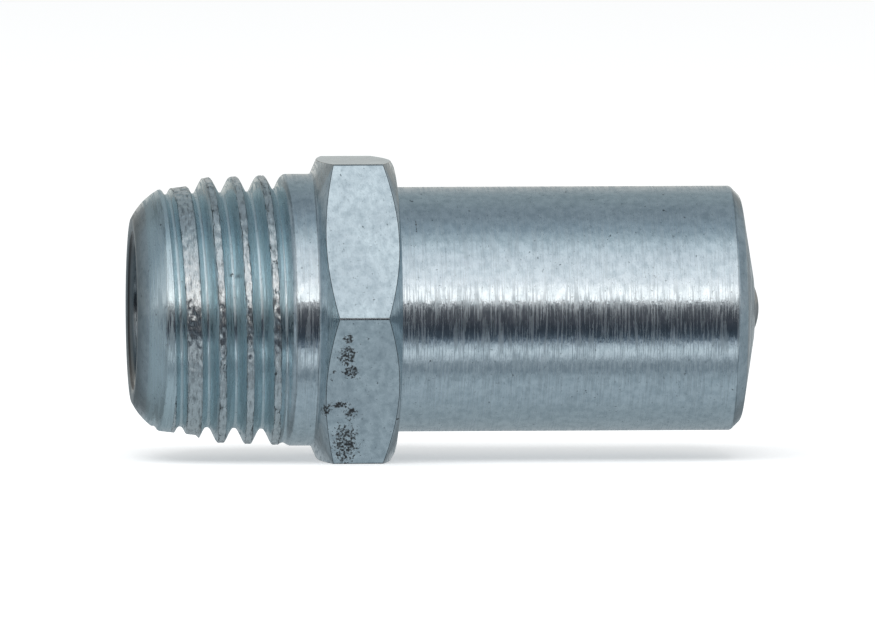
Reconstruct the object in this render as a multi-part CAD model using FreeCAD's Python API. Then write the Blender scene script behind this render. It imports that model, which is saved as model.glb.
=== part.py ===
"""Filler nipple for a grease gun: a turned and zinc-plated steel body with a taper thread,
a hexagon and a plain filling spigot, and a ball check valve held shut by a spring inside it.

The axis of the part is +X, which points out of the valve end. The origin is on the axis,
where the threaded shank meets the hexagon. +Z is up when the part lies on a hexagon flat.
All sizes are in millimetres.
"""

import FreeCAD
import Part
import math
import os

# Threaded shank, which ends at the hexagon
shank_length = 6.6          # free end to hexagon
neck_length = 1.0           # plain collar between the thread and the hexagon
thread_major_d = 10.0       # over the crests where the thread meets the collar
thread_taper = 1.0 / 16.0   # on the diameter
thread_pitch = 1.0          # right-hand
thread_depth = 0.6
thread_root_width = 0.2
thread_flank_angle = 30.0   # each flank from the plane square to the axis
thread_start = 0.01         # the groove crosses the +Y side this far from the end face
thread_runout = 1.0         # length over which the groove comes up to the collar
thread_tool_overlap = 0.1   # how far the cut reaches past the crests
thread_bends_per_turn = 22  # the groove is cut in short straight steps
end_face_d = 6.8            # flat ring at the free end
lead_length = 1.0           # rounded start of the shank
lead_d = 8.88
lead_middle = 0.35          # the rounding passes through this place behind the end face
lead_middle_d = 7.84
pilot_length = 2.35         # the first turns are cut on this smaller diameter
pilot_d = 9.2
pilot_ramp_length = 0.3     # from the pilot up to the full taper

# Hexagon
hex_across_flats = 11.0
hex_length = 3.0
hex_back_angle = 24.0       # chamfer on the thread side, from the plane square to the axis
hex_front_angle = 30.0      # chamfer on the spigot side
hex_face_d = 10.7           # flat face between that chamfer and the spigot

# Filling spigot and nose
spigot_d = 9.0
spigot_length = 12.8        # hexagon to the rim of the nose
nose_chamfer = 0.35
nose_cone_angle = 10.0      # the nose is a very shallow cone, measured from its rim plane
nose_hole_d = 2.6

# Grease passage
passage_d = 4.6
seat_angle = 45.0           # the ball's seat, measured from the axis
mouth_d = 5.0               # opening in the rolled lip at the free end
mouth_bevel = 0.55          # width of the bevel that the rolling tool leaves
lip_sink = 0.2              # how far the bevel sinks below the end face
lip_thickness = 0.25

# Valve pieces
ball_d = 4.0
ball_proud = 0.24           # ball's tip beyond the edge of the nose hole
valve_clearance = 0.02      # at rest, ball to seat and ball to spring
washer_d = 5.5
washer_thickness = 0.55
washer_hole_d = 2.4
washer_edge = 0.08          # bevel that the punch leaves round the washer's hole
spring_wire_d = 0.5
spring_side_gap = 0.2       # coil to passage wall
spring_active_turns = 7
spring_closed_turns = 1.0   # at each end
spring_closed_gap = 0.02    # between touching coils
spring_bends_per_turn = 12  # the coil is bent in short straight steps
spring_wire_sides = 8

# Places along the axis
shank_end_x = -shank_length
thread_end_x = -neck_length
runout_end_x = thread_end_x + 0.3 * thread_pitch
hex_end_x = hex_length
rim_x = hex_end_x + spigot_length

AXIS = FreeCAD.Vector(1, 0, 0)
ORIGIN = FreeCAD.Vector(0, 0, 0)


def point(x, r, angle=90.0):
    """A point at x along the axis and r away from it, at an angle from +Y towards +Z."""
    a = math.radians(angle)
    return FreeCAD.Vector(x, r * math.cos(a), r * math.sin(a))


def line(a, b):
    return Part.LineSegment(a, b).toShape()


def outline(points):
    """Straight edges from each point to the next."""
    return [line(a, b) for a, b in zip(points, points[1:])]


def turned(edges):
    """The solid that a closed half section sweeps about the axis."""
    return Part.Face(Part.Wire(edges)).revolve(ORIGIN, AXIS, 360)


def many_sided_ring(centre, along, r, sides):
    """A closed ring of straight edges round centre, in the plane square to along."""
    across = AXIS.cross(along).normalize()
    beside = along.cross(across)
    corners = []
    for i in range(sides + 1):
        a = 2 * math.pi * (i % sides) / sides
        corners.append(centre + across * (r * math.cos(a)) + beside * (r * math.sin(a)))
    return Part.makePolygon(corners)


def crest_radius(x):
    """Radius of the thread's taper cone at x."""
    return thread_major_d / 2 - (thread_end_x - x) * thread_taper / 2


def nose_x(r):
    """Where the conical nose is at a radius r."""
    rim_r = spigot_d / 2 - nose_chamfer
    return rim_x + (rim_r - r) * math.tan(math.radians(nose_cone_angle))


def ball_centre_x():
    return nose_x(nose_hole_d / 2) + ball_proud - ball_d / 2


def seat_x(r):
    """Where the conical seat is at a radius r, just clear of the ball."""
    a = math.radians(seat_angle)
    reach = ball_d / 2 + valve_clearance
    touch_x = ball_centre_x() + reach * math.sin(a)
    touch_r = reach * math.cos(a)
    return touch_x + (touch_r - r) / math.tan(a)


def washer_face_x():
    """Outer face of the spring washer, against the rolled lip."""
    return shank_end_x + lip_sink + lip_thickness


def chamfer_width(r_step, angle):
    """How far along the axis a chamfer reaches while its radius changes by r_step."""
    return r_step * math.tan(math.radians(angle))


def shank_outline():
    """Half section of the shank's outside, from the end face to the hexagon."""
    lead_x = shank_end_x + lead_length
    pilot_x = shank_end_x + pilot_length
    full_x = pilot_x + pilot_ramp_length
    start = point(shank_end_x, end_face_d / 2)
    lead_end = point(lead_x, lead_d / 2)
    middle = point(shank_end_x + lead_middle, lead_middle_d / 2)
    rounded = Part.Arc(start, middle, lead_end).toShape()
    rest = outline([
        lead_end,
        point(pilot_x, pilot_d / 2),
        point(full_x, crest_radius(full_x)),
        point(thread_end_x, thread_major_d / 2),
        point(0, thread_major_d / 2),
    ])
    return [rounded] + rest


def hex_and_spigot_outline():
    """Half section from the collar over the round blank of the hexagon to the nose hole."""
    neck_r = thread_major_d / 2
    corner_r = hex_across_flats / 2 / math.cos(math.radians(30))
    face_r = hex_face_d / 2
    spigot_r = spigot_d / 2
    return outline([
        point(0, neck_r),
        point(chamfer_width(corner_r - neck_r, hex_back_angle), corner_r),
        point(hex_end_x - chamfer_width(corner_r - face_r, hex_front_angle), corner_r),
        point(hex_end_x, face_r),
        point(hex_end_x, spigot_r),
        point(rim_x - nose_chamfer, spigot_r),
        point(rim_x, spigot_r - nose_chamfer),
        point(nose_x(nose_hole_d / 2), nose_hole_d / 2),
    ])


def passage_outline():
    """Half section of the passage, from the nose hole back to the end face."""
    pocket_r = washer_d / 2
    lip_r = mouth_d / 2
    pocket_end_x = washer_face_x() + washer_thickness
    return outline([
        point(nose_x(nose_hole_d / 2), nose_hole_d / 2),
        point(seat_x(nose_hole_d / 2), nose_hole_d / 2),
        point(seat_x(passage_d / 2), passage_d / 2),
        point(pocket_end_x, passage_d / 2),
        point(pocket_end_x, pocket_r),
        point(washer_face_x(), pocket_r),
        point(washer_face_x(), lip_r),
        point(shank_end_x + lip_sink, lip_r),
        point(shank_end_x, lip_r + mouth_bevel),
        point(shank_end_x, end_face_d / 2),
    ])


def flat_cutters():
    """Six blocks that mill the flats on the round blank."""
    height = hex_across_flats
    cutters = []
    for i in range(6):
        block = Part.makeBox(hex_length, height, height)
        block.translate(FreeCAD.Vector(0, -height / 2, hex_across_flats / 2))
        block.rotate(ORIGIN, AXIS, 60 * i)
        cutters.append(block)
    return cutters


def groove_bottom(x):
    """Radius of the thread's root at x, which rises out of the metal at the collar."""
    share = max(0.0, x - runout_end_x + thread_runout) / thread_runout
    lift = share * share * (3 - 2 * share)
    return crest_radius(x) - thread_depth + lift * (thread_depth + thread_tool_overlap)


def groove_section(turn):
    """Corners of the groove's section after so many turns, in a plane that holds the axis."""
    x = shank_end_x + thread_start + turn * thread_pitch
    bottom = groove_bottom(x) / math.cos(math.pi / thread_bends_per_turn)
    height = thread_depth + thread_tool_overlap
    root_half = thread_root_width / 2
    mouth_half = root_half + height * math.tan(math.radians(thread_flank_angle))
    corners = [(-root_half, 0), (root_half, 0), (mouth_half, height), (-mouth_half, height)]
    return [point(x + along, bottom + up, 360 * turn) for along, up in corners]


def flat_face(corners):
    return Part.Face(Part.makePolygon(corners + corners[:1]))


def thread_groove():
    """The helical groove of the thread, as the solid that the thread tool takes away."""
    turns = (runout_end_x - shank_end_x - thread_start) / thread_pitch
    steps = int(turns * thread_bends_per_turn)
    sections = [groove_section(i / thread_bends_per_turn)
                for i in range(-thread_bends_per_turn, steps + 1)]
    faces = [flat_face(sections[0]), flat_face(sections[-1])]
    for near, far in zip(sections, sections[1:]):
        for side in range(4):
            following = (side + 1) % 4
            a, b, c, d = near[side], near[following], far[following], far[side]
            is_flank = side % 2 == 1
            faces += [flat_face([a, b, c]), flat_face([a, c, d])] if is_flank else [flat_face([a, b, c, d])]
    shell = Part.Shell(faces)
    shell.sewShape()
    groove = Part.Solid(shell)
    if groove.Volume < 0:
        groove.reverse()
    return groove


def make_nipple_body():
    """The turned body: threaded shank, hexagon, spigot, nose and the passage through it."""
    blank = turned(shank_outline() + hex_and_spigot_outline() + passage_outline())
    milled = blank.cut(flat_cutters()).Solids[0]
    return milled.cut(thread_groove()).Solids[0]


def make_valve_ball():
    """The steel ball that closes the nose from inside."""
    return Part.makeSphere(ball_d / 2, FreeCAD.Vector(ball_centre_x(), 0, 0))


def make_spring_washer():
    """The punched washer that the rolled lip traps, and that the spring pushes against."""
    inner_x = washer_face_x() + washer_thickness
    outer_x = washer_face_x()
    r = washer_d / 2
    hole_r = washer_hole_d / 2
    return turned(outline([
        point(outer_x, hole_r + washer_edge),
        point(outer_x, r),
        point(inner_x, r),
        point(inner_x, hole_r),
        point(outer_x + washer_edge, hole_r),
        point(outer_x, hole_r + washer_edge),
    ]))


def make_valve_spring():
    """The compression spring, with a closed coil at each end, between the washer and the ball."""
    wire_r = spring_wire_d / 2
    coil_r = passage_d / 2 - spring_side_gap - wire_r
    touch = ball_d / 2 + valve_clearance + wire_r
    first_x = washer_face_x() + washer_thickness + valve_clearance + wire_r
    last_x = ball_centre_x() - math.sqrt(touch * touch - coil_r * coil_r)
    closed_pitch = spring_wire_d + spring_closed_gap
    closed_length = closed_pitch * spring_closed_turns
    active_pitch = (last_x - first_x - 2 * closed_length) / spring_active_turns
    turns = spring_active_turns + 2 * spring_closed_turns
    steps = int(round(turns * spring_bends_per_turn))
    path = []
    for i in range(steps + 1):
        turn = turns * i / steps
        opened = min(max(turn - spring_closed_turns, 0.0), spring_active_turns)
        x = first_x + closed_pitch * (turn - opened) + active_pitch * opened
        path.append(point(x, coil_r, 360 * turn))
    along = (path[1] - path[0]).normalize()
    section = many_sided_ring(path[0], along, wire_r, spring_wire_sides)
    return Part.makePolygon(path).makePipeShell([section], True, False, 1)


def main():
    os.makedirs("parts", exist_ok=True)
    pieces = {
        "nipple_body": make_nipple_body(),
        "valve_ball": make_valve_ball(),
        "valve_spring": make_valve_spring(),
        "spring_washer": make_spring_washer(),
    }
    for name, shape in pieces.items():
        shape.exportStep("parts/" + name + ".step")
        box = shape.BoundBox
        print(name, shape.ShapeType, len(shape.Solids), shape.isValid(), round(shape.Volume, 3))
        print("   x %.3f to %.3f, y %.3f to %.3f, z %.3f to %.3f" % (
            box.XMin, box.XMax, box.YMin, box.YMax, box.ZMin, box.ZMax))


main()
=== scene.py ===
import math

import bmesh
import bpy
from mathutils import Matrix, Vector, noise


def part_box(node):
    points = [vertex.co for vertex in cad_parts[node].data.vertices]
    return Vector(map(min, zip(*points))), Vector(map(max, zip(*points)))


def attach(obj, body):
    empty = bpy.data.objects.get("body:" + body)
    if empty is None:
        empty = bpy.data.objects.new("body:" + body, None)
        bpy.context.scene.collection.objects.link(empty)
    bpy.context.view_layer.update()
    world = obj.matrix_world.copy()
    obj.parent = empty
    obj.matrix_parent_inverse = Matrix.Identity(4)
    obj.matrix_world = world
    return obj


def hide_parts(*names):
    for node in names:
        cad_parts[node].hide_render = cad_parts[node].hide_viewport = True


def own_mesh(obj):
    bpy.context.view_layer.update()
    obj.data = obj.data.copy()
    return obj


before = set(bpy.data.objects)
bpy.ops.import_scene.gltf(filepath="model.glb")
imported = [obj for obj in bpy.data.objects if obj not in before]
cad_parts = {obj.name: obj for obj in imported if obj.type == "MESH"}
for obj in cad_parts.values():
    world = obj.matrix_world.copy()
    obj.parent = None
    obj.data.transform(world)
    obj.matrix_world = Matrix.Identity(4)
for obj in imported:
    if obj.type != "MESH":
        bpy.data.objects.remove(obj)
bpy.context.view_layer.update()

# Nipple body
# Free-cutting steel, turned in one piece from 11 mm hexagon bar: taper thread, hexagon and filling
# spigot, with the grease passage drilled through it. It is zinc plated and blue passivated.
mm = 0.001
along = Vector((1, 0, 0))
body_low, body_high = [Vector(corner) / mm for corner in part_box("nipple_body")]
end_face_x = body_low.x
nose_edge_x = body_high.x
flat_distance = body_high.z

# Collar, hexagon with a chamfer at each end, spigot and nose
neck_r = 5.0
hexagon_end_x = 3.0
corner_r = 6.335
back_slope = math.tan(math.radians(24))
front_slope = math.tan(math.radians(30))
hexagon_face_r = 5.35
spigot_r = 4.5
rim_x = 15.8
rim_r = 4.15
nose_chamfer_x = rim_x - (spigot_r - rim_r)
flat_rounding = 0.08

# Ball seat, passage, washer pocket, rolled lip, and the arc that rounds the lead
nose_hole_r = 1.3
nose_hole_length = 0.2
seat_start_x = nose_edge_x - nose_hole_length
passage_r = 2.3
lip_sink = 0.2
lip_thickness = 0.25
pocket_length = 0.55
pocket_r = 2.75
washer_face_x = end_face_x + lip_sink + lip_thickness
washer_back_x = washer_face_x + pocket_length
mouth_r = 2.5
mouth_bevel_r = 3.05
end_face_r = 3.4
lead_centre_x = end_face_x + 2.16
lead_centre_r = 2.324
lead_radius = 2.413

# Taper thread, the smaller pilot that its first turns are cut on, and its runout at the collar
pitch = 1.0
taper_slope = 1.0 / 32.0
thread_depth = 0.6
crest_half = 0.07
root_half = 0.05
rounded_share = 0.6
first_crest_x = end_face_x + 0.51
thread_end_x = -1.0
lead_end_x = end_face_x + 1.0
lead_end_r = 4.44
pilot_x = end_face_x + 2.35
pilot_r = 4.6
pilot_ramp = 0.3
runout_from_x = -1.52
runout_to_x = -0.78

# Wear and tears of the crests. Their noise is read on a cylinder, so that it closes round the part.
noise_r = 4.0
noise_stretch = 1.4
crest_wear = 0.04
wear_wave = 0.05
wear_ripple = 0.03
ripple_scale = 3.1
tear_depth = 0.05
tear_scale = 5.3
fine_tear_scale = 11.7
fine_tear_share = 0.6
crest_edge = 0.08
torn_edge = 0.35
torn_from_x = lead_end_x + 0.3
torn_ramp = 0.2
plain_from_x = runout_to_x - 0.1
plain_ramp = 0.5

# The thread is a mesh of its own, cut off at two places and joined there to the turned rest.
thread_cut_from_x = end_face_x + 0.4
thread_cut_to_x = -0.65
joint_gap = 0.03
near_joint = 0.1
turns_before = 2
thread_turns = 9
rows_per_pitch = 24
thread_steps = 300
turning_steps = 192
lead_points = 8
on_plane = 1e-7


def lead_radius_at(x):
    """Radius of the rounded lead."""
    return lead_centre_r + math.sqrt(lead_radius ** 2 - (x - lead_centre_x) ** 2)


def taper_radius(x):
    """Radius over full crests: a taper that ends at the collar."""
    return min(neck_r, neck_r - (thread_end_x - x) * taper_slope)


def blank_radius(x):
    """Outside of the shank before the thread is cut."""
    if x < lead_end_x:
        return min(taper_radius(x), lead_radius_at(x))
    if x < pilot_x:
        return lead_end_r + (pilot_r - lead_end_r) * (x - lead_end_x) / (pilot_x - lead_end_x)
    ramp = min(1.0, (x - pilot_x) / pilot_ramp)
    return pilot_r + (taper_radius(x) - pilot_r) * ramp


def smooth(t):
    """An even rise from 0 to 1 that starts and ends gently."""
    t = min(1.0, max(0.0, t))
    return t * t * (3 - 2 * t)


def groove_share(x, turn):
    """How far down the groove a point is: 0 on a crest, 1 at the root."""
    from_crest = abs((turn + 0.5) % 1.0 - 0.5)
    t = min(1.0, max(0.0, (from_crest - crest_half) / (0.5 - root_half - crest_half)))
    runout = 1.0 - smooth((x - runout_from_x) / (runout_to_x - runout_from_x))
    return ((1 - rounded_share) * t + rounded_share * smooth(t)) * runout


def drawn(shape, points):
    """Places along the axis and out from it, in millimetres, joined in order by edges."""
    verts = [shape.verts.new((x * mm, r * mm, 0)) for x, r in points]
    for a, b in zip(verts, verts[1:]):
        shape.edges.new((a, b))
    return verts


def finished(shape, name):
    """The object of a finished shape, with the shape's name, shaded smooth."""
    for face in shape.faces:
        face.smooth = True
    mesh = bpy.data.meshes.new(name)
    shape.to_mesh(mesh)
    shape.free()
    piece = bpy.data.objects.new(name, mesh)
    bpy.context.collection.objects.link(piece)
    return piece


# Half section of all but the thread: place along the axis, radius, and how far it is rounded there
section = [
    (thread_cut_to_x + joint_gap, neck_r, 0),
    (0, neck_r, 0.08),
    ((corner_r - neck_r) * back_slope, corner_r, 0),
    (hexagon_end_x - (corner_r - hexagon_face_r) * front_slope, corner_r, 0),
    (hexagon_end_x, hexagon_face_r, 0.03),
    (hexagon_end_x, spigot_r, 0.05),
    (nose_chamfer_x, spigot_r, 0.06),
    (rim_x, rim_r, 0.08),
    (nose_edge_x, nose_hole_r, 0.06),
    (seat_start_x, nose_hole_r, 0),
    (seat_start_x - (passage_r - nose_hole_r), passage_r, 0),
    (washer_back_x, passage_r, 0),
    (washer_back_x, pocket_r, 0),
    (washer_face_x, pocket_r, 0),
    (washer_face_x, mouth_r, 0),
    (end_face_x + lip_sink, mouth_r, 0.08),
    (end_face_x, mouth_bevel_r, 0.08),
    (end_face_x, end_face_r, 0),
]
for i in range(1, lead_points + 1):
    x = end_face_x + (thread_cut_from_x - joint_gap - end_face_x) * (i / lead_points) ** 2
    section.append((x, lead_radius_at(x), 0))

turned = bmesh.new()
corners = drawn(turned, [(x, r) for x, r, rounding in section])
for vert, (x, r, rounding) in zip(corners, section):
    if rounding:
        bmesh.ops.bevel(turned, geom=[vert], offset=rounding * mm, segments=4, profile=0.5,
                        affect="VERTICES", material=-1)
bmesh.ops.spin(turned, geom=turned.verts[:] + turned.edges[:], cent=(0, 0, 0), axis=along,
               angle=math.tau, steps=turning_steps, use_merge=True)

# The hexagon's flats cut the round blank. They are its only faces with many corners.
flat_normals = [Matrix.Rotation(math.radians(60 * i), 3, along) @ Vector((0, 0, 1)) for i in range(6)]
for normal in flat_normals:
    cut = bmesh.ops.bisect_plane(turned, geom=turned.verts[:] + turned.edges[:] + turned.faces[:],
                                 dist=on_plane, plane_co=normal * flat_distance * mm,
                                 plane_no=normal, clear_outer=True)
    rim = [e for e in cut["geom_cut"] if isinstance(e, bmesh.types.BMEdge)]
    bmesh.ops.edgeloop_fill(turned, edges=rim)
bmesh.ops.recalc_face_normals(turned, faces=turned.faces[:])
turned.verts.layers.float.new("groove")
turned.verts.layers.float.new("torn")
drawn_flat = turned.faces.layers.float.new("flat")
darkened_edge_faces = turned.faces.layers.float.new("edge")
many = 8
flat_edges = [e for e in turned.edges
              if len(e.link_faces) == 2 and any(len(f.verts) > many for f in e.link_faces)]
rounded = bmesh.ops.bevel(turned, geom=flat_edges, offset=flat_rounding * mm, segments=2,
                          profile=0.5, affect="EDGES", material=-1, clamp_overlap=True)
# The rounded edges of the flats are marked to be drawn as a dark line.
for face in rounded["faces"]:
    face[darkened_edge_faces] = 1
for normal in flat_normals:
    for vert in turned.verts:
        proud = vert.co.dot(normal) - flat_distance * mm
        if proud > 0:
            vert.co -= normal * proud
for face in turned.faces:
    if len(face.verts) > many:
        face[drawn_flat] = 1
        face[darkened_edge_faces] = 0

# The thread starts as a plain helical tube, whose rows follow the groove. Its layers have the names
# of those above, so that they join.
thread = bmesh.new()
thread_groove = thread.verts.layers.float.new("groove")
thread_torn = thread.verts.layers.float.new("torn")
thread.faces.layers.float.new("flat")
thread.faces.layers.float.new("edge")
start_x = first_crest_x - turns_before * pitch
drawn(thread, [(start_x + pitch * i / rows_per_pitch, neck_r) for i in range(rows_per_pitch + 1)])
bmesh.ops.spin(thread, geom=thread.verts[:] + thread.edges[:], cent=(0, 0, 0), axis=along,
               dvec=along * (pitch * mm / thread_steps), angle=math.tau,
               steps=thread_steps, use_merge=False)
first_turn = thread.verts[:] + thread.edges[:] + thread.faces[:]
for turn in range(1, thread_turns):
    following = bmesh.ops.duplicate(thread, geom=first_turn)["geom"]
    bmesh.ops.translate(thread, vec=along * (turn * pitch * mm),
                        verts=[v for v in following if isinstance(v, bmesh.types.BMVert)])
bmesh.ops.remove_doubles(thread, verts=thread.verts[:], dist=0.002 * mm)
for vert in thread.verts:
    x = vert.co.x / mm
    angle = math.atan2(vert.co.z, vert.co.y)
    turn = (x - first_crest_x) / pitch - angle / math.tau
    cut_r = taper_radius(x) - thread_depth * groove_share(x, turn)
    in_thread = smooth((plain_from_x - x) / plain_ramp)
    place = Vector((math.cos(angle) * noise_r, math.sin(angle) * noise_r, x * noise_stretch))
    wear = (crest_wear + wear_wave * noise.noise(place)
            + wear_ripple * noise.noise(place * ripple_scale))
    worn_r = taper_radius(x) - max(0.0, wear) * in_thread
    crest_r = min(blank_radius(max(x, end_face_x)), worn_r)
    on_crest = in_thread * smooth(0.5 + (cut_r - crest_r) / crest_edge)
    tear = max(0.0, noise.noise(place * tear_scale)
               + fine_tear_share * noise.noise(place * fine_tear_scale))
    in_crests = smooth((x - torn_from_x) / torn_ramp)
    r = min(crest_r, cut_r) - tear_depth * tear * on_crest * in_crests
    vert.co = Vector((x, r * math.cos(angle), r * math.sin(angle))) * mm
    vert[thread_torn] = in_thread * in_crests * smooth(0.5 + (cut_r - crest_r) / torn_edge)
    vert[thread_groove] = in_thread - vert[thread_torn]
for cut_x, side in ((thread_cut_from_x, -1), (thread_cut_to_x, 1)):
    bmesh.ops.bisect_plane(thread, geom=thread.verts[:] + thread.edges[:] + thread.faces[:],
                           dist=on_plane, plane_co=along * cut_x * mm, plane_no=along * side,
                           clear_outer=True)
thread_mesh = bpy.data.meshes.new("thread")
thread.to_mesh(thread_mesh)
thread.free()
turned.from_mesh(thread_mesh)
bpy.data.meshes.remove(thread_mesh)

for joint_x in (thread_cut_from_x, thread_cut_to_x):
    rims = [e for e in turned.edges
            if e.is_boundary and abs(e.verts[0].co.x / mm - joint_x) < near_joint]
    bmesh.ops.bridge_loops(turned, edges=rims)
bmesh.ops.recalc_face_normals(turned, faces=turned.faces[:])
body_shell = finished(turned, "body_shell")
body_shell.data.set_sharp_from_angle(angle=math.radians(35))
evened = body_shell.modifiers.new("evened", "WEIGHTED_NORMAL")
evened.keep_sharp = True


def linear(colour):
    """An sRGB hex colour as linear red, green, blue and alpha."""
    parts = [int(colour[i:i + 2], 16) / 255 for i in (1, 3, 5)]
    return [c / 12.92 if c <= 0.04045 else ((c + 0.055) / 1.055) ** 2.4 for c in parts] + [1.0]


def add(material, kind, settings=None, inputs=None):
    """A node of a kind, with its settings, and its inputs set to values or linked to outputs."""
    node = material.node_tree.nodes.new(kind)
    for name, value in (settings or {}).items():
        setattr(node, name, value)
    for name, value in (inputs or {}).items():
        if isinstance(value, bpy.types.NodeSocket):
            material.node_tree.links.new(value, node.inputs[name])
        else:
            node.inputs[name].default_value = value
    return node


# Bright zinc plate with a blue passivation: cool grey and glossy. Turning marks run round it as fine
# rings, and the rougher rings blur what the smooth ones mirror. They are drawn coarser than the real
# feed marks, so that they show. The drawn flats of the hexagon are duller, and the thread is torn.
plated = bpy.data.materials.new("blue_zinc_plate")
plated.use_nodes = True
shader = plated.node_tree.nodes["Principled BSDF"]
place = add(plated, "ShaderNodeTexCoord").outputs["Object"]
sides = add(plated, "ShaderNodeSeparateXYZ", inputs={"Vector": place})
groove, torn, flat, edge = [
    add(plated, "ShaderNodeAttribute", {"attribute_name": name}).outputs["Fac"]
    for name in ("groove", "torn", "flat", "edge")]

# Each noise has so many features a millimetre along X, Y and Z, and so many finer layers.
per_mm = 1 / mm
noises = {}
for name, features, layers in (
        ("clouds", (0.5, 0.5, 0.5), 3), ("mottle", (3.5, 3, 3), 5), ("brushed", (12, 2.5, 2.5), 3),
        ("patches", (3, 0.5, 0.5), 2), ("rings", (18, 0.7, 0.7), 3), ("pits", (5, 5, 5), 2),
        ("specks", (11, 9, 9), 2), ("tears", (9, 2.2, 2.2), 4)):
    at = add(plated, "ShaderNodeMapping", inputs={
        "Vector": place, "Scale": [count * per_mm for count in features]}).outputs["Vector"]
    noises[name] = add(plated, "ShaderNodeTexNoise", inputs={
        "Vector": at, "Scale": 1.0, "Detail": layers, "Roughness": 0.6}).outputs["Fac"]
noises["patchy_rings"] = add(plated, "ShaderNodeMath", {"operation": "MULTIPLY_ADD"}, {
    0: noises["patches"], 1: 0.35, 2: noises["rings"]}).outputs["Value"]
noises["ragged"] = add(plated, "ShaderNodeMath", {"operation": "MULTIPLY"}, {
    0: noises["mottle"], 1: torn}).outputs["Value"]

# Each mark shows from one level of its noise, and is at its strongest from another.
marks = {}
for name, source, faint_at, full_at, strongest in (
        ("rough_ring", "patchy_rings", 0.65, 0.73, 1.0), ("cloudy", "clouds", 0.35, 0.65, 0.65),
        ("mottled", "mottle", 0.4, 0.68, 0.65), ("pitted", "pits", 0.71, 0.77, 0.85),
        ("specked", "specks", 0.64, 0.74, 0.45), ("fleck", "tears", 0.5, 0.68, 0.6),
        ("grime", "tears", 0.42, 0.62, 0.9), ("crest", "ragged", 0.2, 0.25, 1.0)):
    marks[name] = add(plated, "ShaderNodeMapRange", inputs={
        "Value": noises[source], "From Min": faint_at, "From Max": full_at,
        "To Max": strongest}).outputs["Result"]
flecks = add(plated, "ShaderNodeMath", {"operation": "MULTIPLY"}, {
    0: marks["crest"], 1: marks["fleck"]}).outputs["Value"]
burr = add(plated, "ShaderNodeMath", {"operation": "COMPARE"}, {
    0: noises["ragged"], 1: 0.205, 2: 0.035}).outputs["Value"]
burr_line = add(plated, "ShaderNodeMath", {"operation": "MULTIPLY"}, {
    0: burr, 1: marks["grime"]}).outputs["Value"]

# The thread end darkens and dulls towards its face, the passage is painted dark as shade, and a dark
# line edges each flat.
darkening_from_x = end_face_x + 0.05
darkening_to_x = end_face_x + 0.5
black_r = 2.93
black_to_x = rim_x - 0.1
shade_fade_from_r = 2.7
shade_full_from_r = 2.8
# Darker and duller towards the face of the thread end.
darker_duller_end = add(plated, "ShaderNodeMapRange", inputs={
    "Value": sides.outputs["X"], "From Min": darkening_from_x * mm, "From Max": darkening_to_x * mm,
    "To Min": 0.62, "To Max": 0.0}).outputs["Result"]
across = add(plated, "ShaderNodeVectorMath", {"operation": "MULTIPLY"}, {
    0: place, 1: (0, 1, 1)}).outputs["Vector"]
radius = add(plated, "ShaderNodeVectorMath", {"operation": "LENGTH"}, {0: across}).outputs["Value"]
# Painted shade: the inside of the passage is coloured dark, in full near the outer edge of the mouth
# bevel and at about half strength further in.
bored = add(plated, "ShaderNodeMath", {"operation": "LESS_THAN"}, {
    0: radius, 1: black_r * mm}).outputs["Value"]
behind_nose = add(plated, "ShaderNodeMath", {"operation": "LESS_THAN"}, {
    0: sides.outputs["X"], 1: black_to_x * mm}).outputs["Value"]
inside = add(plated, "ShaderNodeMath", {"operation": "MULTIPLY"}, {
    0: bored, 1: behind_nose}).outputs["Value"]
passage_shade_by_radius = add(plated, "ShaderNodeMapRange", inputs={
    "Value": radius, "From Min": shade_fade_from_r * mm, "From Max": shade_full_from_r * mm,
    "To Min": 0.55}).outputs["Result"]
painted_passage_shade = add(plated, "ShaderNodeMath", {"operation": "MULTIPLY"}, {
    0: inside, 1: passage_shade_by_radius}).outputs["Value"]
# A dark line on the rounded edges round each flat.
dark_flat_edge = add(plated, "ShaderNodeMapRange", inputs={"Value": edge, "To Max": 0.9}).outputs["Result"]

# Smudges of dried grease on the side that faces the camera: place along and up, and half sizes.
smudges = [(0.93, -1.4, 0.52, 0.6), (0.95, -0.75, 0.3, 0.28), (1.1, -2.0, 0.5, 0.42),
           (0.49, -2.0, 0.14, 0.1), (0.41, -2.27, 0.12, 0.12), (0.25, -3.45, 0.32, 0.34),
           (0.72, -3.25, 0.6, 0.2), (1.15, -3.55, 0.4, 0.3), (1.0, -4.75, 0.78, 1.4),
           (9.4, 4.35, 0.45, 0.14), (7.9, -4.25, 0.35, 0.16), (-3.2, 1.5, 0.14, 0.14),
           (2.9, -3.8, 0.16, 0.06), (3.65, 3.2, 0.05, 0.6)]
near_side = 5
smudged = 0.0
for along_x, up, half_x, half_z in smudges:
    at = add(plated, "ShaderNodeMapping", {"vector_type": "TEXTURE"}, {
        "Vector": place, "Location": (along_x * mm, -near_side * mm, up * mm),
        "Scale": (half_x * mm, near_side * mm, half_z * mm)}).outputs["Vector"]
    spot = add(plated, "ShaderNodeTexGradient", {"gradient_type": "SPHERICAL"}, {
        "Vector": at}).outputs["Fac"]
    smudged = add(plated, "ShaderNodeMath", {"operation": "MAXIMUM"}, {
        0: spot, 1: smudged}).outputs["Value"]
thinned = add(plated, "ShaderNodeMath", {"operation": "MINIMUM"}, {
    0: smudged, 1: 0.62}).outputs["Value"]
smudge_at = add(plated, "ShaderNodeMath", {"operation": "MULTIPLY_ADD"}, {
    0: thinned, 1: 0.55, 2: noises["specks"]}).outputs["Value"]
smudge = add(plated, "ShaderNodeMapRange", inputs={
    "Value": smudge_at, "From Min": 0.72, "From Max": 0.88, "To Max": 0.9}).outputs["Result"]

# Colours laid over the plate in turn. The passage's dark is painted shade.
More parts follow.
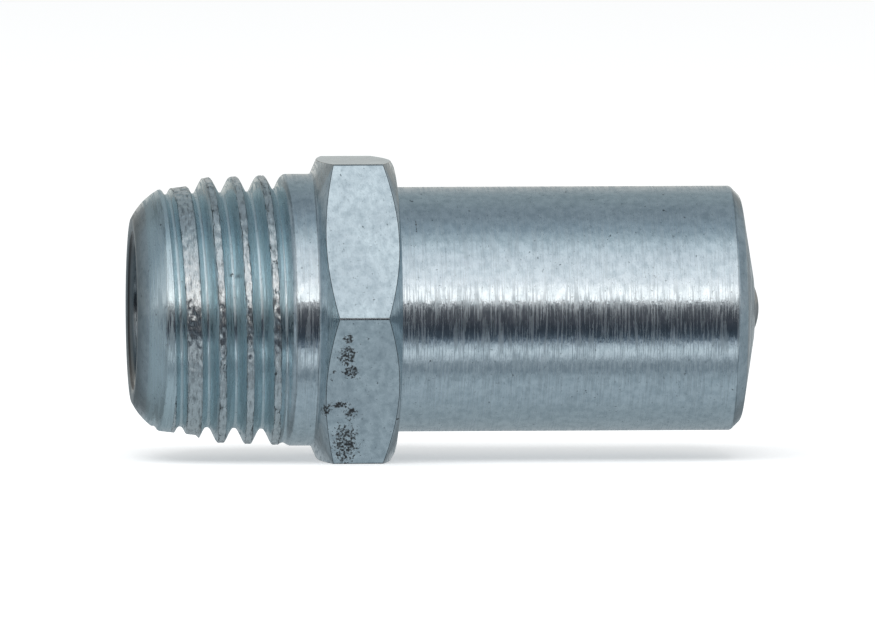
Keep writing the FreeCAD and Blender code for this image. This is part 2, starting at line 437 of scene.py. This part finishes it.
colour = linear("#D8E5EA")
for share, over in (
        (flat, "#E8F6FA"), (marks["cloudy"], "#CEDBE1"), (marks["mottled"], "#ADBDC4"),
        (groove, "#D0E2E7"), (marks["crest"], "#D9E2E4"), (flecks, "#667276"),
        (burr_line, "#2A3338"), (marks["specked"], "#59646A"), (marks["pitted"], "#3D464B"),
        (darker_duller_end, "#4A5356"), (painted_passage_shade, "#26292B"), (dark_flat_edge, "#30373B"),
        (smudge, "#3D3837")):
    colour = add(plated, "ShaderNodeMix", {"data_type": "RGBA"}, {
        0: share, 6: colour, 7: linear(over)}).outputs[2]
plated.node_tree.links.new(colour, shader.inputs["Base Color"])

# The marks' depth: brushing and tears are so many times as deep as the mottle.
mark_depth = 0.004
brushed_depth = 2.4
torn_depth = 8.0
brushed_height = add(plated, "ShaderNodeMath", {"operation": "MULTIPLY_ADD"}, {
    0: noises["brushed"], 1: brushed_depth, 2: noises["mottle"]}).outputs["Value"]
torn_height = add(plated, "ShaderNodeMath", {"operation": "MULTIPLY"}, {
    0: noises["tears"], 1: marks["crest"]}).outputs["Value"]
height = add(plated, "ShaderNodeMath", {"operation": "MULTIPLY_ADD"}, {
    0: torn_height, 1: torn_depth, 2: brushed_height}).outputs["Value"]
bump = add(plated, "ShaderNodeBump", inputs={
    "Height": height, "Strength": 1.0, "Distance": mark_depth * mm}).outputs["Normal"]
plated.node_tree.links.new(bump, shader.inputs["Normal"])

# Roughness: what a smooth ring has, what a rough ring and the groove add, and what covers them.
smooth_ring = 0.07
rough_ring_adds = 0.24
groove_adds = 0.12
ring_roughness = add(plated, "ShaderNodeMath", {"operation": "MULTIPLY_ADD"}, {
    0: marks["rough_ring"], 1: rough_ring_adds, 2: smooth_ring}).outputs["Value"]
roughness = add(plated, "ShaderNodeMath", {"operation": "MULTIPLY_ADD"}, {
    0: groove, 1: groove_adds, 2: ring_roughness}).outputs["Value"]
for share, over in ((flat, 0.24), (marks["crest"], 0.2), (darker_duller_end, 0.42), (smudge, 0.6)):
    roughness = add(plated, "ShaderNodeMix", {"data_type": "FLOAT"}, {
        0: share, 2: roughness, 3: over}).outputs[0]
plated.node_tree.links.new(roughness, shader.inputs["Roughness"])
shader.inputs["Metallic"].default_value = 1.0
body_shell.data.materials.append(plated)
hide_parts("nipple_body")
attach(body_shell, "nipple")

# Valve ball
# A hardened bearing-steel ball, ground and polished. It sits on the cone behind the nose hole, and
# filling pressure pushes it in against its spring.
ball_low, ball_high = [Vector(corner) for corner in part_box("valve_ball")]
ball = bmesh.new()
bmesh.ops.create_uvsphere(ball, u_segments=96, v_segments=48, radius=(ball_high.x - ball_low.x) / 2,
                          matrix=Matrix.Translation((ball_low + ball_high) / 2)
                          @ Matrix.Rotation(math.radians(90), 4, "Y"))
check_ball = finished(ball, "check_ball")

# Polished steel: a clear mirror, with a thin film of grease that greys it in patches
polished = bpy.data.materials.new("polished_bearing_steel")
polished.use_nodes = True
shader = polished.node_tree.nodes["Principled BSDF"]
place = add(polished, "ShaderNodeTexCoord").outputs["Object"]
smears_at = add(polished, "ShaderNodeMapping", inputs={
    "Vector": place, "Scale": (1.5 * per_mm, 1.5 * per_mm, 1.5 * per_mm)}).outputs["Vector"]
smears = add(polished, "ShaderNodeTexNoise", inputs={
    "Vector": smears_at, "Scale": 1.0, "Detail": 3.0}).outputs["Fac"]
film = add(polished, "ShaderNodeMix", {"data_type": "RGBA"}, {
    0: smears, 6: linear("#C9C9C7"), 7: linear("#B2B3B3")}).outputs[2]
polished.node_tree.links.new(film, shader.inputs["Base Color"])
shader.inputs["Metallic"].default_value = 1.0
shader.inputs["Roughness"].default_value = 0.12
check_ball.data.materials.append(polished)
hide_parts("valve_ball")
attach(check_ball, "ball")

# Valve spring
# Drawn spring wire, coiled with a closed turn at each end, between the washer and the ball. It
# shortens towards the washer as the ball goes in.
spring_low, spring_high = [Vector(corner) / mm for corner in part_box("valve_spring")]
wire_r = 0.25
coil_r = 1.85
closed_pitch = 0.52
active_turns = 7
coil_length = spring_high.x - spring_low.x - 2 * wire_r
active_pitch = (coil_length - 2 * closed_pitch) / active_turns
coil_steps = 40
wire_sides = 14
spring = bmesh.new()
coil_start = Vector((spring_low.x + wire_r, coil_r, 0)) * mm
wire_end = bmesh.ops.create_circle(spring, segments=wire_sides, radius=wire_r * mm,
                                   matrix=Matrix.Translation(coil_start))["verts"]
spring.faces.new(wire_end)
edges = spring.edges[:]
for turns, turn_pitch in ((1, closed_pitch), (active_turns, active_pitch), (1, closed_pitch)):
    swept = bmesh.ops.spin(spring, geom=edges, cent=(0, 0, 0), axis=along,
                           dvec=along * (turn_pitch * mm / coil_steps), angle=math.tau * turns,
                           steps=coil_steps * turns, use_merge=False)
    edges = [e for e in swept["geom_last"] if isinstance(e, bmesh.types.BMEdge)]
bmesh.ops.edgeloop_fill(spring, edges=edges)
bmesh.ops.recalc_face_normals(spring, faces=spring.faces[:])
coiled_spring = finished(spring, "coiled_spring")

# Oiled wire: mid grey with a soft shine, and fine marks from the die that it was drawn through
wire = bpy.data.materials.new("oiled_spring_wire")
wire.use_nodes = True
shader = wire.node_tree.nodes["Principled BSDF"]
place = add(wire, "ShaderNodeTexCoord").outputs["Object"]
draw_marks_at = add(wire, "ShaderNodeMapping", inputs={
    "Vector": place, "Scale": (6 * per_mm, 6 * per_mm, 6 * per_mm)}).outputs["Vector"]
draw_marks = add(wire, "ShaderNodeTexNoise", inputs={
    "Vector": draw_marks_at, "Scale": 1.0, "Detail": 3.0}).outputs["Fac"]
oiled = add(wire, "ShaderNodeMix", {"data_type": "RGBA"}, {
    0: draw_marks, 6: linear("#A3A3A4"), 7: linear("#7B7B7E")}).outputs[2]
wire.node_tree.links.new(oiled, shader.inputs["Base Color"])
shader.inputs["Metallic"].default_value = 1.0
shader.inputs["Roughness"].default_value = 0.3
coiled_spring.data.materials.append(wire)
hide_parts("valve_spring")
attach(coiled_spring, "nipple")
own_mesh(coiled_spring)

# Spring washer
# Punched from strip steel. The spring pushes it against the lip that is rolled in at the thread end.
washer_low, washer_high = [Vector(corner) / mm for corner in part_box("spring_washer")]
washer_r = washer_high.y
washer_hole_r = 1.2
washer_rounding = 0.08
washer_steps = 96
punched = bmesh.new()
corners = drawn(punched, [(washer_low.x, washer_hole_r), (washer_low.x, washer_r),
                          (washer_high.x, washer_r), (washer_high.x, washer_hole_r)])
punched.edges.new((corners[-1], corners[0]))
bmesh.ops.bevel(punched, geom=corners, offset=washer_rounding * mm, segments=3, profile=0.5,
                affect="VERTICES", material=-1)
bmesh.ops.spin(punched, geom=punched.verts[:] + punched.edges[:], cent=(0, 0, 0), axis=along,
               angle=math.tau, steps=washer_steps, use_merge=True)
bmesh.ops.recalc_face_normals(punched, faces=punched.faces[:])
punched_washer = finished(punched, "punched_washer")
punched_washer.data.set_sharp_from_angle(angle=math.radians(40))

# Rolled strip: pale grey with a satin sheen, and fine marks along the way it was rolled
strip = bpy.data.materials.new("rolled_strip_steel")
strip.use_nodes = True
shader = strip.node_tree.nodes["Principled BSDF"]
place = add(strip, "ShaderNodeTexCoord").outputs["Object"]
roll_marks_at = add(strip, "ShaderNodeMapping", inputs={
    "Vector": place, "Scale": (2 * per_mm, 1 * per_mm, 12 * per_mm)}).outputs["Vector"]
roll_marks = add(strip, "ShaderNodeTexNoise", inputs={
    "Vector": roll_marks_at, "Scale": 1.0, "Detail": 3.0}).outputs["Fac"]
rolled = add(strip, "ShaderNodeMix", {"data_type": "RGBA"}, {
    0: roll_marks, 6: linear("#B0B2B4"), 7: linear("#94989B")}).outputs[2]
strip.node_tree.links.new(rolled, shader.inputs["Base Color"])
shader.inputs["Metallic"].default_value = 1.0
shader.inputs["Roughness"].default_value = 0.35
punched_washer.data.materials.append(strip)
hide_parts("spring_washer")
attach(punched_washer, "nipple")

# Table and light
# A pale table under the hexagon and a white surround behind it. The metal shows a studio tent that
# goes round the part's axis: a bright strip in front, softboxes above it and a dark gap under it.
table_half = 0.6
top = bmesh.new()
bmesh.ops.create_grid(top, x_segments=1, y_segments=1, size=table_half,
                      matrix=Matrix.Translation((0, 0, body_low.z * mm)))
table = finished(top, "table")
table.visible_glossy = False

# Matt painted board: near white with no shine, and lifted for the camera to meet the white behind it
pale = bpy.data.materials.new("pale_table")
pale.use_nodes = True
shader = pale.node_tree.nodes["Principled BSDF"]
shader.inputs["Base Color"].default_value = linear("#EEF0F1")
shader.inputs["Roughness"].default_value = 1.0
shader.inputs["Specular IOR Level"].default_value = 0.0
shader.inputs["Emission Color"].default_value = (1, 1, 1, 1)
seen = add(pale, "ShaderNodeLightPath").outputs["Is Camera Ray"]
lift = add(pale, "ShaderNodeMath", {"operation": "MULTIPLY"}, {0: seen, 1: 0.42}).outputs["Value"]
pale.node_tree.links.new(lift, shader.inputs["Emission Strength"])
table.data.materials.append(pale)

tent = bpy.data.worlds.new("studio_tent")
bpy.context.scene.world = tent
tent.use_nodes = True
surround = tent.node_tree.nodes["Background"]
towards = add(tent, "ShaderNodeTexCoord").outputs["Generated"]
sides = add(tent, "ShaderNodeSeparateXYZ", inputs={"Vector": towards})
front = add(tent, "ShaderNodeMath", {"operation": "MULTIPLY"}, {
    0: sides.outputs["Y"], 1: -1.0}).outputs["Value"]
angle = add(tent, "ShaderNodeMath", {"operation": "ARCTAN2"}, {
    0: sides.outputs["Z"], 1: front}).outputs["Value"]
turned_share = add(tent, "ShaderNodeMapRange", inputs={
    "Value": angle, "From Min": -math.pi, "From Max": math.pi}).outputs["Result"]
panels = add(tent, "ShaderNodeValToRGB", inputs={"Fac": turned_share})

# The tent's panels, in degrees up from the front: under it, then from front to back over the top
tent_levels = [
    (-180, "#8C9193"), (-165, "#858B8F"), (-145, "#81888C"), (-115, "#80888D"), (-88, "#8A9298"),
    (-72, "#8E969C"), (-64, "#878F95"), (-58, "#6E767D"), (-50, "#747B81"), (-43, "#A2A7AC"),
    (-38, "#B6BBBF"), (-32, "#9CA2A8"), (-27, "#59616B"), (-22, "#343B43"), (-15, "#2F333A"),
    (-6, "#404045"), (1, "#4C4C50"), (7, "#7A787A"), (12, "#FFF9F7"), (20, "#FCF6F4"),
    (28, "#DBD9DB"), (38, "#CFD0D3"), (50, "#C5C7CB"), (64, "#B4BABF"), (73, "#98A1A7"),
    (83, "#808A92"), (102, "#727A81"), (135, "#7C8488"), (162, "#969898"), (180, "#B2B1AD"),
]
levels = panels.color_ramp
levels.interpolation = "EASE"
for degrees, level in tent_levels[1:-1]:
    stop = levels.elements.new((degrees + 180) / 360)
    stop.color = linear(level)
levels.elements[0].color = linear(tent_levels[0][1])
levels.elements[-1].color = linear(tent_levels[-1][1])

# The panels are darker away from the middle of the part, and end in two grey walls.
brightest = 1.55
aside = 0.55
behind_wall = -0.15
beside = add(tent, "ShaderNodeMath", {"operation": "ABSOLUTE"}, {0: sides.outputs["X"]}).outputs["Value"]
middle = add(tent, "ShaderNodeMapRange", {"interpolation_type": "SMOOTHSTEP"}, {
    "Value": beside, "From Min": 0.2, "From Max": 0.36, "To Min": 1.0,
    "To Max": aside}).outputs["Result"]
end_wall = add(tent, "ShaderNodeMapRange", {"interpolation_type": "SMOOTHSTEP"}, {
    "Value": beside, "From Min": 0.5, "From Max": 0.68}).outputs["Result"]
panel_share = add(tent, "ShaderNodeMath", {"operation": "MULTIPLY_ADD"}, {
    0: end_wall, 1: behind_wall, 2: middle}).outputs["Value"]
panel_light = add(tent, "ShaderNodeVectorMath", {"operation": "SCALE"}, {
    0: panels.outputs["Color"], "Scale": panel_share}).outputs["Vector"]
end_light = add(tent, "ShaderNodeVectorMath", {"operation": "SCALE"}, {
    0: linear("#5A6065")[:3], "Scale": end_wall}).outputs["Vector"]
all_light = add(tent, "ShaderNodeVectorMath", {"operation": "ADD"}, {
    0: panel_light, 1: end_light}).outputs["Vector"]
lit_tent = add(tent, "ShaderNodeVectorMath", {"operation": "SCALE"}, {
    0: all_light, "Scale": brightest}).outputs["Vector"]

# Only mirrored light meets the tent. All other light is an even grey, and the camera sees white.
even_grey = (0.5, 0.5, 0.5, 1)
white = (1, 1, 1, 1)
rays = add(tent, "ShaderNodeLightPath")
metal_view = add(tent, "ShaderNodeMix", {"data_type": "RGBA"}, {
    0: rays.outputs["Is Glossy Ray"], 6: even_grey, 7: lit_tent}).outputs[2]
whole_view = add(tent, "ShaderNodeMix", {"data_type": "RGBA"}, {
    0: rays.outputs["Is Camera Ray"], 6: metal_view, 7: white}).outputs[2]
tent.node_tree.links.new(whole_view, surround.inputs["Color"])

key = bpy.data.lights.new("softbox", "AREA")
key.shape = "RECTANGLE"
key.size = 0.5
key.size_y = 0.4
key.energy = 2.0
softbox = bpy.data.objects.new("softbox", key)
bpy.context.collection.objects.link(softbox)
softbox.location = (-0.1, -0.3, 0.5)
softbox.rotation_euler = (-softbox.location).to_track_quat("-Z", "Y").to_euler()
softbox.visible_glossy = False

# Camera
# A long lens, a little above the part and towards its thread end. The view width is in millimetres
# at the part, and sets how large the part stands in the frame.
view_width = 32.2
distance = 1.0
aim = Vector((4.68, 0, -0.09)) * mm
yaw = math.radians(4.5)
rise = math.radians(3.2)
away = Vector((-math.sin(yaw) * math.cos(rise), -math.cos(yaw) * math.cos(rise), math.sin(rise)))
lens = bpy.data.cameras.new("camera")
lens.lens = lens.sensor_width * distance / (view_width * mm)
lens.clip_start = 0.01
camera = bpy.data.objects.new("camera", lens)
bpy.context.collection.objects.link(camera)
camera.location = aim + away * distance
camera.rotation_euler = (-away).to_track_quat("-Z", "Y").to_euler()
bpy.context.scene.camera = camera
bpy.context.scene.view_settings.view_transform = "Standard"
